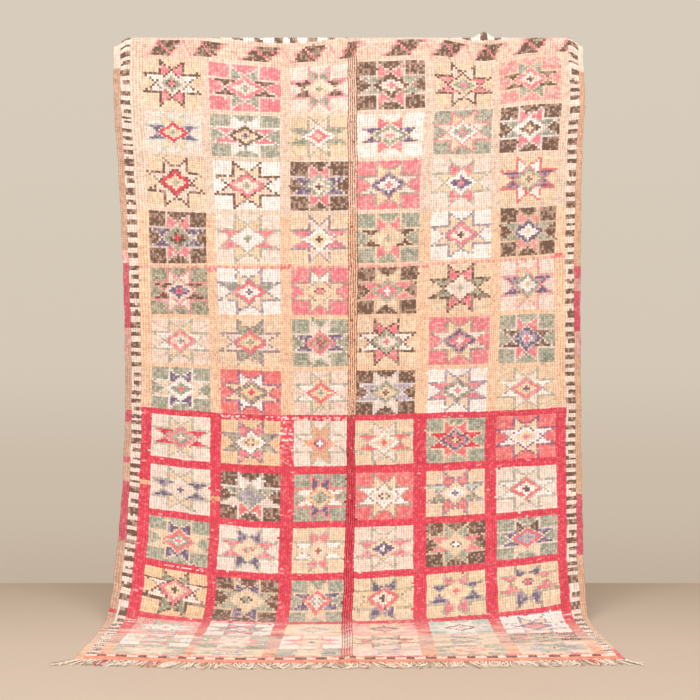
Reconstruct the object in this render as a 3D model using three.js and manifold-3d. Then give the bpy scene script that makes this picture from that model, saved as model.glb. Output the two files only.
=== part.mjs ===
// A Boujad rug, hung by its upper end and swept forward on to the floor. Millimetres, +Z up.
// The pile faces -Y. The origin is on the underside of the top fold, on the line that a support bears on.
import * as THREE from "three";
import { mergeVertices } from "three/addons/utils/BufferGeometryUtils.js";
import Module from "manifold-3d";

// Driving sizes of the hang
const supportHeight = 2124; // floor up to the line that carries the fold
const foldRadius = 14; // inside of the fold
const turnedEnd = 112; // straight length turned down behind
const clothLength = 2950; // from the top of the fold to the front edge, along the cloth

// Thickness of the cloth, from its back to the tips of its pile
const pileThickness = 9;
const selvedgeThickness = 5;
const endThickness = 4.5;
const selvedgeWidth = 22; // flat-woven strip down each side
const frontEndWidth = 70; // flat-woven strip across the front end
const turnedEndWidth = 40; // flat-woven strip across the turned end

// How the cloth leaves the plumb line: each bend is an arc of its own length
const bends = [
  { name: "slack", length: 300, turn: 8, steps: 3 },
  { name: "lean", length: 250, turn: 10, steps: 3 },
  { name: "belly", length: 180, turn: 11, steps: 3 },
  { name: "shin", length: 130, turn: 7, steps: 2 },
  { name: "heel", length: 70, turn: 12, steps: 2 },
  { name: "sweep", length: 70, turn: 22, steps: 4 },
  { name: "landing", length: 60, turn: 14, steps: 3 },
  { name: "touch", length: 60, turn: 6, steps: 2 },
];

// Side edges, from the middle line, at distances along the cloth from the top of the fold
const edges = [
  { along: 0, left: -888, right: 874 },
  { along: 260, left: -886, right: 882 },
  { along: 420, left: -874, right: 871 },
  { along: 604, left: -863, right: 867 },
  { along: 984, left: -847, right: 864 },
  { along: 1354, left: -841, right: 866 },
  { along: 1734, left: -846, right: 861 },
  { along: 2034, left: -856, right: 849 },
  { along: 2234, left: -858, right: 841 },
  { along: 2554, left: -850, right: 841 },
  { along: 2950, left: -853, right: 850 },
];

// Folds and waves of the hanging cloth: how far each stands forward, and where it fades out
const folds = [
  { name: "storage crease", at: 6, reach: 27, height: 9, from: 60, to: 2164, fade: 60 },
  { name: "left wave", at: -560, reach: 230, height: 9, from: 440, to: 1700, fade: 400 },
  { name: "left hollow", at: -250, reach: 190, height: -7, from: 500, to: 1750, fade: 400 },
  { name: "right wave", at: 320, reach: 210, height: 7, from: 440, to: 1500, fade: 400 },
  { name: "shoulder", at: 690, reach: 150, height: 13, from: 250, to: 480, fade: 220 },
  { name: "right hem wave", at: 760, reach: 120, height: 9, from: 1100, to: 1800, fade: 300 },
  { name: "left hem wave", at: -790, reach: 110, height: 8, from: 900, to: 1800, fade: 300 },
  { name: "pucker", at: 502, reach: 48, height: 21, from: -22, to: 22, fade: 46 },
];
const calmLength = 140; // the waves fade out over this length before the floor
const floorCrease = 5; // the crease as a thicker ridge where the cloth lies flat
const cornerDroop = { depth: 30, reach: 56, fade: 240 }; // the fold's ends hang past the support

// The front edge bows forward: its corners lie further back than its middle
const frontBow = { depth: 55, power: 1.5, from: 2390, to: 2760 };
const frontBulge = { depth: 22, at: 0.27, reach: 0.25 }; // a part of it that lies further forward

// Fringe of warp ends along the front edge
const fringe = {
  part: 0.3, // clear of the cloth's edge
  strip: 6, // depth of the strip that holds the strands
  stripHeight: 4,
  strands: 146,
  length: 76,
  uneven: 15,
  width: 4.4,
  height: 3.4,
  crown: 0.7, // width of a strand's top, as a share of its foot
  tip: 0.55, // width and height at the tip, as a share of the root's
  segments: 3,
  sway: 5,
  swayStep: 0.9, // turn of the sway from one strand to the next
  curve: 0.75, // share of a half wave that a strand bends through
  lock: 6, // strands that sway together
  splay: 0.16, // sideways lean at the corners, as a share of the length
  corner: 40, // further lean of the outermost strands
  cornerReach: 0.06,
};

const radians = THREE.MathUtils.degToRad;
const clamp = THREE.MathUtils.clamp;
const smooth = (value, low, high) => THREE.MathUtils.smoothstep(value, low, high);

// The plumb stretch takes up whatever height the fold and the bends leave
const bendFall = bends.reduce(
  (sum, bend) => {
    const start = sum.lean;
    const end = start + radians(bend.turn);
    const radius = bend.length / (end - start);
    return { lean: end, fall: sum.fall + radius * (Math.sin(end) - Math.sin(start)) };
  },
  { lean: 0, fall: 0 },
).fall;
const bendLength = bends.reduce((sum, bend) => sum + bend.length, 0);
const plumbLength = supportHeight - foldRadius - bendFall;
const quarterFold = (Math.PI / 2) * foldRadius;
const floorStart = quarterFold + plumbLength + bendLength;
const floorLength = clothLength - floorStart;

// The back of the cloth as a chain of arcs and straights, from the turned end to the front edge.
// Lean is the angle from plumb: 180 degrees upward behind, 0 down the front, 90 forward on the floor.
const stretches = [
  { name: "turned end", length: turnedEnd, turn: 0, steps: 1 },
  { name: "fold", length: 2 * quarterFold, turn: -180, steps: 8 },
  { name: "plumb", length: plumbLength, turn: 0, steps: 9 },
  ...bends,
  { name: "floor", length: floorLength, turn: 0, steps: 3 },
];

function stretchPoint(start, stretch, run) {
  const turn = radians(stretch.turn);
  if (turn === 0)
    return {
      lean: start.lean,
      y: start.y - Math.sin(start.lean) * run,
      z: start.z - Math.cos(start.lean) * run,
    };
  const curl = turn / stretch.length;
  const lean = start.lean + curl * run;
  return {
    lean,
    y: start.y + (Math.cos(lean) - Math.cos(start.lean)) / curl,
    z: start.z - (Math.sin(lean) - Math.sin(start.lean)) / curl,
  };
}

// Sections across the cloth: distance along it from the top of the fold, lean, and place of its back
function sections() {
  const rows = [];
  let start = { lean: Math.PI, y: foldRadius, z: -foldRadius - turnedEnd };
  let along = -quarterFold - turnedEnd;
  for (const stretch of stretches) {
    const first = rows.length === 0 ? 0 : 1;
    for (let i = first; i <= stretch.steps; i++) {
      const run = (stretch.length * i) / stretch.steps;
      rows.push({ along: along + run, ...stretchPoint(start, stretch, run) });
    }
    start = stretchPoint(start, stretch, stretch.length);
    along += stretch.length;
  }
  return rows;
}

function fromTable(table, key, column, value) {
  const last = table.length - 1;
  const at = clamp(value, table[0][key], table[last][key]);
  const i = Math.min(table.findIndex((row, n) => n === last || at <= table[n + 1][key]), last - 1);
  const share = (at - table[i][key]) / (table[i + 1][key] - table[i][key]);
  return THREE.MathUtils.lerp(table[i][column], table[i + 1][column], share);
}

const across = (share, along) =>
  THREE.MathUtils.lerp(
    fromTable(edges, "along", "left", Math.abs(along)),
    fromTable(edges, "along", "right", Math.abs(along)),
    share,
  );

const bump = (distance, reach) =>
  Math.abs(distance) >= reach ? 0 : 0.5 + 0.5 * Math.cos((Math.PI * distance) / reach);

// How far back the cloth lies on the floor, away from its middle line
function bowBack(share, along) {
  const bow = frontBow.depth * Math.abs(2 * share - 1) ** frontBow.power;
  const bulge = frontBulge.depth * bump(share - frontBulge.at, frontBulge.reach);
  return (bow - bulge) * smooth(along, frontBow.from, frontBow.to);
}

// How far the folds push the hanging cloth forward
function foldForward(x, along) {
  return folds.reduce((sum, fold) => {
    const fadeIn = smooth(along, fold.from - fold.fade, fold.from);
    const fadeOut = 1 - smooth(along, fold.to, fold.to + fold.fade);
    return sum + fold.height * bump(x - fold.at, fold.reach) * fadeIn * fadeOut;
  }, 0);
}

function droop(share, along) {
  const width = edges[0].right - edges[0].left;
  const fromEdge = Math.min(share, 1 - share) * width;
  const outward = 1 - smooth(fromEdge, 0, cornerDroop.reach);
  const nearFold = 1 - smooth(Math.abs(along), 0, cornerDroop.fade);
  return cornerDroop.depth * outward * nearFold;
}

function thickness(share, along) {
  const width = edges[0].right - edges[0].left;
  const fromEdge = Math.min(share, 1 - share) * width;
  if (along > clothLength - frontEndWidth + 1) return endThickness;
  if (along < -quarterFold - turnedEnd + turnedEndWidth - 1) return endThickness;
  return fromEdge < selvedgeWidth - 1 ? selvedgeThickness : pileThickness;
}

// A point of the cloth: side 0 is its back, side 1 the tips of its pile
function clothPoint(row, share, side) {
  const x = across(share, row.along);
  const floorShare = smooth(row.along, floorStart - calmLength, floorStart);
  const forward = foldForward(x, row.along) * (1 - floorShare);
  const ridge = side * floorCrease * floorShare * bump(x - folds[0].at, folds[0].reach);
  const out = forward + side * thickness(share, row.along) + ridge;
  return [
    x,
    row.y - Math.cos(row.lean) * out + bowBack(share, row.along),
    row.z + Math.sin(row.lean) * out - droop(share, row.along),
  ];
}

// Shares of the width at which the cloth is cut into columns
function columnShares() {
  const width = edges[0].right - edges[0].left;
  const fromMiddle = (x) => (x - edges[0].left) / width;
  const sides = [0, selvedgeWidth, cornerDroop.reach];
  const overFold = (fold) => [-1, -0.5, 0, 0.5, 1].map((part) => fold.at + part * fold.reach);
  const left = [-790, -730, -650, -560, -470, -380, -290, -200, -100];
  const right = [110, 210, 310, 390, 625, 690, 755];
  const shares = [
    ...sides.map((inset) => inset / width),
    ...sides.map((inset) => 1 - inset / width),
    ...[...left, ...overFold(folds[0]), ...right, ...overFold(folds.at(-1))].map(fromMiddle),
  ];
  return shares.sort((a, b) => a - b);
}

// A closed sheet: two faces of the same grid, joined round their rim
function clothGeometry() {
  const rows = withEndSteps(sections());
  const shares = columnShares();
  const columns = shares.length;
  const layer = rows.length * columns;
  const positions = [];
  for (const side of [0, 1])
    for (const row of rows)
      for (const share of shares) positions.push(...clothPoint(row, share, side));
  const at = (side, i, j) => side * layer + i * columns + j;
  const index = [];
  const quad = (a, b, c, d) => index.push(a, b, c, a, c, d);
  for (let i = 0; i + 1 < rows.length; i++)
    for (let j = 0; j + 1 < columns; j++) {
      quad(at(1, i, j), at(1, i + 1, j), at(1, i + 1, j + 1), at(1, i, j + 1));
      quad(at(0, i, j), at(0, i, j + 1), at(0, i + 1, j + 1), at(0, i + 1, j));
    }
  const lastRow = rows.length - 1;
  const lastColumn = columns - 1;
  for (let i = 0; i < lastRow; i++) {
    quad(at(0, i, 0), at(0, i + 1, 0), at(1, i + 1, 0), at(1, i, 0));
    quad(at(1, i, lastColumn), at(1, i + 1, lastColumn), at(0, i + 1, lastColumn), at(0, i, lastColumn));
  }
  for (let j = 0; j < lastColumn; j++) {
    quad(at(0, 0, j), at(1, 0, j), at(1, 0, j + 1), at(0, 0, j + 1));
    quad(at(1, lastRow, j), at(0, lastRow, j), at(0, lastRow, j + 1), at(1, lastRow, j + 1));
  }
  return new THREE.BufferGeometry()
    .setAttribute("position", new THREE.Float32BufferAttribute(positions, 3))
    .setIndex(index);
}

// The pile steps down to the flat-woven ends within a few millimetres
function withEndSteps(rows) {
  const start = { ...rows[0] };
  const end = { ...rows.at(-1) };
  const upward = { ...start, along: start.along + turnedEndWidth - 3, z: start.z + turnedEndWidth - 3 };
  const pileStart = { ...upward, along: upward.along + 3, z: upward.z + 3 };
  const flatStart = { ...end, along: end.along - frontEndWidth + 3, y: end.y + frontEndWidth - 3 };
  const pileEnd = { ...flatStart, along: flatStart.along - 3, y: flatStart.y + 3 };
  return [...rows, upward, pileStart, flatStart, pileEnd].sort((a, b) => a.along - b.along);
}

const wasm = await Module();
wasm.setup();

function solidOf(geometry) {
  const bare = mergeVertices(geometry.deleteAttribute("normal").deleteAttribute("uv"));
  return new wasm.Manifold(
    new wasm.Mesh({
      numProp: 3,
      vertProperties: new Float32Array(bare.getAttribute("position").array),
      triVerts: new Uint32Array(bare.index.array),
    }),
  );
}

function geometryOf(solid) {
  const mesh = solid.getMesh();
  return new THREE.BufferGeometry()
    .setAttribute("position", new THREE.BufferAttribute(new Float32Array(mesh.vertProperties), 3))
    .setIndex(new THREE.BufferAttribute(new Uint32Array(mesh.triVerts), 1));
}

// Even, repeatable unevenness between -1 and 1
const uneven = (number, salt) => {
  const wave = Math.sin(number * 12.9898 + salt * 78.233) * 43758.5453;
  return 2 * (wave - Math.floor(wave)) - 1;
};

// Where the cloth's front edge lies on the floor
const edgeMiddle = sections().at(-1).y;
const frontEdge = (share) => edgeMiddle + bowBack(share, clothLength);

// One strand lying on the floor: a four-sided taper that starts inside the strip
function strandGeometry(number, floorZ) {
  const share = (number + 0.5) / fringe.strands;
  const rootX = across(share, clothLength);
  const side = 2 * share - 1;
  const length = fringe.length + fringe.uneven * uneven(number, 1);
  const nearCorner = smooth(Math.abs(side), 1 - 2 * fringe.cornerReach, 1);
  const lean = side * fringe.splay * length + Math.sign(side) * nearCorner * fringe.corner;
  const phase = number * fringe.swayStep + uneven(Math.floor(number / fringe.lock), 2);
  const sway = fringe.sway * Math.sin(phase);
  const positions = [];
  for (let i = 0; i <= fringe.segments; i++) {
    const run = i / fringe.segments;
    const size = THREE.MathUtils.lerp(1, fringe.tip, run);
    const half = (fringe.width * size) / 2;
    const top = fringe.height * size;
    const x = rootX + lean * run * run + sway * Math.sin(run * Math.PI * fringe.curve) * run;
    const y = frontEdge(share) - fringe.part - fringe.strip / 2 - run * length;
    positions.push(x - half, y, floorZ, x + half, y, floorZ);
    const crown = half * fringe.crown;
    positions.push(x + crown, y, floorZ + top, x - crown, y, floorZ + top);
  }
  const index = [0, 2, 1, 0, 3, 2];
  for (let i = 0; i < fringe.segments; i++)
    for (let k = 0; k < 4; k++) {
      const a = 4 * i + k;
      const b = 4 * i + ((k + 1) % 4);
      index.push(a, b + 4, a + 4, a, b, b + 4);
    }
  const tip = 4 * fringe.segments;
  index.push(tip, tip + 1, tip + 2, tip, tip + 2, tip + 3);
  return new THREE.BufferGeometry()
    .setAttribute("position", new THREE.Float32BufferAttribute(positions, 3))
    .setIndex(index);
}

function fringeGeometry(floorZ) {
  const edge = (share, inset) =>
    new THREE.Vector2(across(share, clothLength), frontEdge(share) - inset);
  const shares = columnShares();
  const outline = new THREE.Shape([
    ...shares.map((share) => edge(share, fringe.part)),
    ...shares.toReversed().map((share) => edge(share, fringe.part + fringe.strip)),
  ]);
  const strip = new THREE.ExtrudeGeometry(outline, { depth: fringe.stripHeight, bevelEnabled: false });
  strip.translate(0, 0, floorZ);
  const strands = Array.from({ length: fringe.strands }, (_, number) =>
    solidOf(strandGeometry(number, floorZ)),
  );
  return geometryOf(wasm.Manifold.union([solidOf(strip), ...strands]));
}

const wool = new THREE.MeshStandardMaterial({ color: 0xf0c9a0, roughness: 0.95, metalness: 0 });
const warp = new THREE.MeshStandardMaterial({ color: 0xf3e6d8, roughness: 0.9, metalness: 0 });

const floorZ = -supportHeight;

const rug = new THREE.Mesh(clothGeometry(), wool);
rug.name = "rug";

const frontFringe = new THREE.Mesh(fringeGeometry(floorZ), warp);
frontFringe.name = "fringe_front";

const boujadRug = new THREE.Group();
boujadRug.add(rug, frontFringe);

export default boujadRug;
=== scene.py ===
# A Boujad rug hung over a support and swept forward on to the floor. Metres, +Z up, pile towards -Y.
import math
import bpy
import numpy as np
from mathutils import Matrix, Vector


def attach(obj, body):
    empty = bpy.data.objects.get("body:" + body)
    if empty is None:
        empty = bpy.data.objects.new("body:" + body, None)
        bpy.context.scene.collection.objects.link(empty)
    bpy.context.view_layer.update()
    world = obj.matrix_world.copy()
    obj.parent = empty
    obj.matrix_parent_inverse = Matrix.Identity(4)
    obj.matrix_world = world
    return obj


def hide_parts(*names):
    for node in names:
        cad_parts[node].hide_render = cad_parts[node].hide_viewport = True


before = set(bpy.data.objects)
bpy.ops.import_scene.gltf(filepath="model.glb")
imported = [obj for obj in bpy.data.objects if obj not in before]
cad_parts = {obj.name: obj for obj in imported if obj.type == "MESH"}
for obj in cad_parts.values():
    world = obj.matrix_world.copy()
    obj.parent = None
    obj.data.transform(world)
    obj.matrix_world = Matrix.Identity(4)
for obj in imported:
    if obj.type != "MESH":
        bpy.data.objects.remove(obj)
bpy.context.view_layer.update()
scene = bpy.context.scene
chance = np.random.default_rng(1971)


# Rows of a table, each with the same named columns
def tableOf(names, rows):
    return [dict(zip(names.split(), row)) for row in rows]


def join(tree, giver, output, taker, entry):
    tree.links.new(giver.outputs[output], taker.inputs[entry])


print("sizes of the hang")

# The same sizes, bends, edges and folds as the rug's solid
hang = {
    "supportHeight": 2.124,  # floor up to the underside of the fold
    "foldRadius": 0.014,
    "turnedEnd": 0.112,  # straight length turned down behind
    "clothLength": 2.950,  # from the top of the fold to the front edge
    "pile": 0.009,
    "selvedge": 0.005,
    "end": 0.0045,
    "floorCrease": 0.005,
    "calm": 0.140,  # the waves fade out over this length before the floor
}
bends = tableOf("name length turn", [
    ("slack", 0.300, 8),
    ("lean", 0.250, 10),
    ("belly", 0.180, 11),
    ("shin", 0.130, 7),
    ("heel", 0.070, 12),
    ("sweep", 0.070, 22),
    ("landing", 0.060, 14),
    ("touch", 0.060, 6),
])
edges = tableOf("along left right", [
    (0.000, -0.888, 0.874),
    (0.260, -0.886, 0.882),
    (0.420, -0.874, 0.871),
    (0.604, -0.863, 0.867),
    (0.984, -0.847, 0.864),
    (1.354, -0.841, 0.866),
    (1.734, -0.846, 0.861),
    (2.034, -0.856, 0.849),
    (2.234, -0.858, 0.841),
    (2.554, -0.850, 0.841),
    (2.950, -0.853, 0.850),
])
folds = tableOf("name at reach height from to fade", [
    ("storage crease", 0.006, 0.027, 0.009, 0.06, 2.164, 0.06),
    ("left wave", -0.56, 0.23, 0.009, 0.44, 1.7, 0.4),
    ("left hollow", -0.25, 0.19, -0.007, 0.5, 1.75, 0.4),
    ("right wave", 0.32, 0.21, 0.007, 0.44, 1.5, 0.4),
    ("shoulder", 0.69, 0.15, 0.013, 0.25, 0.48, 0.22),
    ("right hem wave", 0.76, 0.12, 0.009, 1.1, 1.8, 0.3),
    ("left hem wave", -0.79, 0.11, 0.008, 0.9, 1.8, 0.3),
    ("pucker", 0.502, 0.048, 0.021, -0.022, 0.022, 0.046),
])
droop = {"depth": 0.030, "reach": 0.056, "fade": 0.240}
edgeWave = 0.0009  # how far the side edges wander
frontBow = {"depth": 0.055, "power": 1.5, "from": 2.390, "to": 2.760}
frontBulge = {"depth": 0.022, "at": 0.27, "reach": 0.25}


def smooth(value, low, high):
    t = np.clip((value - low) / (high - low), 0, 1)
    return t * t * (3 - 2 * t)


def linear(colour):
    value = np.asarray(colour, float) / 255
    return np.where(value <= 0.04045, value / 12.92, ((value + 0.055) / 1.055) ** 2.4)


def bump(distance, reach):
    return np.where(np.abs(distance) < reach, 0.5 + 0.5 * np.cos(np.pi * distance / reach), 0)


def stretchesOfHang():
    lean = fall = 0
    for bend in bends:
        turn = math.radians(bend["turn"])
        fall += bend["length"] / turn * (math.sin(lean + turn) - math.sin(lean))
        lean += turn
    quarter = math.pi / 2 * hang["foldRadius"]
    plumb = hang["supportHeight"] - hang["foldRadius"] - fall
    hang["floorStart"] = quarter + plumb + sum(bend["length"] for bend in bends)
    hang["start"] = -quarter - hang["turnedEnd"]
    return [
        {"length": hang["turnedEnd"], "turn": 0},
        {"length": 2 * quarter, "turn": -180},
        {"length": plumb, "turn": 0},
        *bends,
        {"length": hang["clothLength"] - hang["floorStart"], "turn": 0},
    ]


# Lean and place of the cloth's back, at distances along it: 180 degrees is up behind, 0 down the front
def backLine(along):
    lean = np.zeros_like(along)
    y = np.zeros_like(along)
    z = np.zeros_like(along)
    at = hang["start"]
    lean0 = math.pi
    y0 = hang["foldRadius"]
    z0 = -hang["foldRadius"] - hang["turnedEnd"]
    for stretch in stretches:
        past = along >= at - 1e-6
        run = np.append(along[past] - at, stretch["length"])
        turn = math.radians(stretch["turn"])
        if turn:
            curl = turn / stretch["length"]
            newLean = lean0 + curl * run
            newY = y0 + (np.cos(newLean) - math.cos(lean0)) / curl
            newZ = z0 - (np.sin(newLean) - math.sin(lean0)) / curl
        else:
            newLean = np.full_like(run, lean0)
            newY = y0 - math.sin(lean0) * run
            newZ = z0 - math.cos(lean0) * run
        lean[past] = newLean[:-1]
        y[past] = newY[:-1]
        z[past] = newZ[:-1]
        lean0 = newLean[-1]
        y0 = newY[-1]
        z0 = newZ[-1]
        at += stretch["length"]
    return lean, y, z


def sideEdges(along):
    at = [edge["along"] for edge in edges]
    left = np.interp(np.abs(along), at, [edge["left"] for edge in edges])
    right = np.interp(np.abs(along), at, [edge["right"] for edge in edges])
    left = left + edgeWave * (np.sin(along * 31) + np.sin(along * 67 + 1))
    right = right + edgeWave * (np.sin(along * 27 + 2) + np.sin(along * 73))
    return left, right


def foldForward(x, along):
    forward = np.zeros_like(x)
    for fold in folds:
        fadeIn = smooth(along, fold["from"] - fold["fade"], fold["from"])
        fadeOut = 1 - smooth(along, fold["to"], fold["to"] + fold["fade"])
        forward += fold["height"] * bump(x - fold["at"], fold["reach"]) * fadeIn * fadeOut
    return forward


# Points of the cloth: share across the width, distance along it, and height above its back
def clothPoints(share, along, height):
    lean, y, z = backLine(along)
    left, right = sideEdges(along)
    x = left + (right - left) * share
    floorShare = smooth(along, hang["floorStart"] - hang["calm"], hang["floorStart"])
    ridge = hang["floorCrease"] * floorShare * bump(x - folds[0]["at"], folds[0]["reach"])
    out = foldForward(x, along) * (1 - floorShare) + height + ridge * (height > hang["selvedge"] / 2)
    width = edges[0]["right"] - edges[0]["left"]
    fromEdge = np.minimum(share, 1 - share) * width
    fall = droop["depth"] * (1 - smooth(fromEdge, 0, droop["reach"]))
    fall = fall * (1 - smooth(np.abs(along), 0, droop["fade"]))
    y = y - np.cos(lean) * out + bowBack(share, along)
    z = z + np.sin(lean) * out - fall
    return np.stack([x, y, z], axis=-1)


def bowBack(share, along):
    bow = frontBow["depth"] * np.abs(2 * share - 1) ** frontBow["power"]
    bulge = frontBulge["depth"] * bump(share - frontBulge["at"], frontBulge["reach"])
    return (bow - bulge) * smooth(along, frontBow["from"], frontBow["to"])


stretches = stretchesOfHang()

print("camera, lights and floor")

camera = {"height": 0.957, "distance": 5.70, "lens": 77.9}
studio = {
    # the pale room behind, as seen and as light: tones by how far up the eye looks
    "room": [
        (-0.160, (196, 178, 160)),
        (-0.090, (205, 189, 171)),
        (0.0, (215, 202, 185)),
        (0.2, (218, 206, 190)),
    ],
    "ambient": 0.98,
    "floor": [(0.44, 0.34, 0.255), (0.54, 0.435, 0.345)],  # at the back, darkened with painted shade, and at the front
    "floorShadeSpan": (-0.8, 0.5),  # where the floor turns to its painted shade towards the back
    "floorBack": 0.52,  # how far the floor runs on behind the rug
    "floorWidth": 9.0,
    "floorFront": 6.5,
}
lamps = [
    {"name": "key", "place": (-2.6, -4.6, 1.1), "size": 3.2, "power": 151},
    {"name": "fill", "place": (3.0, -4.8, 0.4), "size": 3.6, "power": 103},
    {"name": "top", "place": (0.3, -1.9, 2.3), "size": 2.6, "power": 57},
]
lampColour = (0.94, 0.99, 1.05)


def makeCamera():
    data = bpy.data.cameras.new("camera")
    data.lens = camera["lens"]
    data.sensor_width = 36
    view = bpy.data.objects.new("camera", data)
    view.location = (0, -camera["distance"], camera["height"] - hang["supportHeight"])
    view.rotation_euler = (math.radians(90), 0, 0)
    scene.collection.objects.link(view)
    scene.camera = view


def makeLights():
    world = bpy.data.worlds.new("room")
    scene.world = world
    world.use_nodes = True
    tree = world.node_tree
    background = tree.nodes["Background"]
    background.inputs["Strength"].default_value = studio["ambient"]
    place = tree.nodes.new("ShaderNodeTexCoord")
    split = tree.nodes.new("ShaderNodeSeparateXYZ")
    upward = tree.nodes.new("ShaderNodeMapRange")
    lowest = studio["room"][0][0]
    highest = studio["room"][-1][0]
    upward.inputs["From Min"].default_value = lowest
    upward.inputs["From Max"].default_value = highest
    tones = tree.nodes.new("ShaderNodeValToRGB")
    tones.color_ramp.interpolation = "EASE"
    while len(tones.color_ramp.elements) < len(studio["room"]):
        tones.color_ramp.elements.new(0.5)
    for element, (height, tone) in zip(tones.color_ramp.elements, studio["room"]):
        element.position = (height - lowest) / (highest - lowest)
        element.color = (*linear(tone), 1)
    join(tree, place, "Generated", split, "Vector")
    join(tree, split, "Z", upward, "Value")
    join(tree, upward, "Result", tones, "Fac")
    join(tree, tones, "Color", background, "Color")
    target = Vector((0, -0.2, -hang["supportHeight"] * 0.36))
    for lamp in lamps:
        data = bpy.data.lights.new(lamp["name"], "AREA")
        data.shape = "DISK"
        data.size = lamp["size"]
        data.energy = lamp["power"]
        data.color = lampColour
        light = bpy.data.objects.new(lamp["name"], data)
        light.location = lamp["place"]
        light.rotation_euler = (target - light.location).to_track_quat("-Z", "Y").to_euler()
        scene.collection.objects.link(light)


def makeFloor():
    z = -hang["supportHeight"]
    half = studio["floorWidth"] / 2
    near = -studio["floorFront"]
    far = studio["floorBack"]
    mesh = bpy.data.meshes.new("floor")
    corners = [(-half, near, z), (half, near, z), (half, far, z), (-half, far, z)]
    mesh.from_pydata(corners, [], [(0, 1, 2, 3)])
    floor = bpy.data.objects.new("floor", mesh)
    material = bpy.data.materials.new("pale floor")
    material.use_nodes = True
    tree = material.node_tree
    shader = tree.nodes["Principled BSDF"]
    shader.inputs["Roughness"].default_value = 0.6
    place = tree.nodes.new("ShaderNodeTexCoord")
    split = tree.nodes.new("ShaderNodeSeparateXYZ")
    # Painted shade: the floor darkens from its front tone to its back tone
    backShadeRamp = tree.nodes.new("ShaderNodeMapRange")
    backShadeRamp.inputs["From Min"].default_value = studio["floorShadeSpan"][1]
    backShadeRamp.inputs["From Max"].default_value = studio["floorShadeSpan"][0]
    blend = tree.nodes.new("ShaderNodeMix")
    blend.data_type = "RGBA"
    blend.inputs["A"].default_value = (*studio["floor"][0], 1)
    blend.inputs["B"].default_value = (*studio["floor"][1], 1)
    join(tree, place, "Object", split, "Vector")
    join(tree, split, "Y", backShadeRamp, "Value")
    join(tree, backShadeRamp, "Result", blend, "Factor")
    join(tree, blend, "Result", shader, "Base Color")
    mesh.materials.append(material)
    scene.collection.objects.link(floor)


scene.view_settings.view_transform = "Standard"
makeCamera()
makeLights()
makeFloor()

print("loom: knots across and along the rug")

# Where each stretch of knots starts across the rug, as a share of its width, at five of its star rows
measuredRows = (1, 5, 8, 11, 14)
columns = tableOf("name knots starts", [
    ("left selvedge", 3, (0, 0, 0, 0, 0)),
    ("left checker", 4, (0.0149, 0.0132, 0.0152, 0.0179, 0.0145)),
    ("left plain", 4, (0.0352, 0.0342, 0.0371, 0.0397, 0.0362)),
    ("star 1", 25, (0.0628, 0.0597, 0.0589, 0.0657, 0.0596)),
    ("bar 1", 5, (0.1860, 0.1845, 0.1878, 0.2011, 0.1932)),
    ("star 2", 25, (0.2029, 0.2064, 0.2118, 0.2201, 0.2102)),
    ("bar 2", 6, (0.3538, 0.3422, 0.3408, 0.3512, 0.3400)),
    ("star 3", 23, (0.3750, 0.3662, 0.3714, 0.3786, 0.3653)),
    ("bar 3", 9, (0.4982, 0.4909, 0.4871, 0.4887, 0.4857)),
    ("star 4", 25, (0.5173, 0.5129, 0.5046, 0.5104, 0.5064)),
    ("bar 4", 6, (0.6617, 0.6419, 0.6313, 0.6375, 0.6340)),
    ("star 5", 25, (0.6830, 0.6704, 0.6597, 0.6648, 0.6638)),
    ("bar 5", 5, (0.8040, 0.8040, 0.7887, 0.7889, 0.7921)),
    ("star 6", 25, (0.8210, 0.8260, 0.8125, 0.8144, 0.8170)),
    ("right plain", 4, (0.9506, 0.9420, 0.9436, 0.9455, 0.9513)),
    ("right checker", 4, (0.9680, 0.9668, 0.9655, 0.9648, 0.9751)),
    ("right selvedge", 3, (0.9887, 0.9856, 0.9872, 0.9862, 0.9904)),
])
# Where each band of knot rows starts along the rug: at its left edge, its middle and its right edge
topBands = tableOf("name knots left middle right", [
    ("turned strip", 5, -0.134, -0.134, -0.134),
    ("turned pile", 6, -0.094, -0.094, -0.094),
    ("top checker", 6, -0.046, -0.046, -0.054),
    ("over zigzag", 2, 0.000, 0.001, -0.012),
    ("zigzag", 7, 0.013, 0.017, -0.002),
    ("under zigzag", 2, 0.067, 0.075, 0.054),
])
starRows = tableOf("row left middle right bar barKnots", [
    (1, 0.076, 0.095, 0.072, 0.017, 2),
    (2, 0.269, 0.297, 0.242, 0.017, 2),
    (3, 0.438, 0.470, 0.439, 0.017, 2),
    (4, 0.645, 0.669, 0.630, 0.018, 2),
    (5, 0.866, 0.870, 0.824, 0.017, 2),
    (6, 1.056, 1.060, 1.035, 0.017, 2),
    (7, 1.227, 1.254, 1.233, 0.022, 3),
    (8, 1.405, 1.442, 1.411, 0.030, 4),
    (9, 1.589, 1.641, 1.600, 0.026, 3),
    (10, 1.777, 1.846, 1.788, 0.028, 4),
    (11, 1.966, 2.051, 1.962, 0.041, 2),
    (12, 2.190, 2.330, 2.172, 0.012, 1),
    (13, 2.492, 2.540, 2.486, 0.009, 1),
    (14, 2.700, 2.760, 2.650, 0.009, 1),
])
frontBands = tableOf("name knots left middle right", [
    ("front checker", 3, 2.876, 2.883, 2.880),
    ("front strip", 6, 2.900, 2.907, 2.904),
])
# Star rows whose middle lies nearer the top than halfway, and by how far
raised = [{"band": "stars 11", "by": 0.030}]
# Where the rows sag over the support, so that the turned end peeks over the fold
sags = [
    {"at": -0.25, "reach": 0.36, "depth": 0.024},
    {"at": 0.50, "reach": 0.20, "depth": 0.025},
]
loom = {
    "starKnots": 21,  # knot rows in a star compartment
    "middle": 0.37,  # share of the width where the knot rows hang lowest
    "wander": 0.0016,  # how far knot rows stray
    "sidle": 0.0009,  # how far knot columns stray, as a share of the width
    "sagStart": (-0.1, -0.04),
    "sagFade": (0.05, 0.34),
    "valley": 0.36,  # width of a valley of the crease, as a share of a ridge and a valley
    "loose": 0.0007,  # how far single knots stray
    "ragged": 0.03,  # share of knots that take a neighbour's yarn
}


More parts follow.
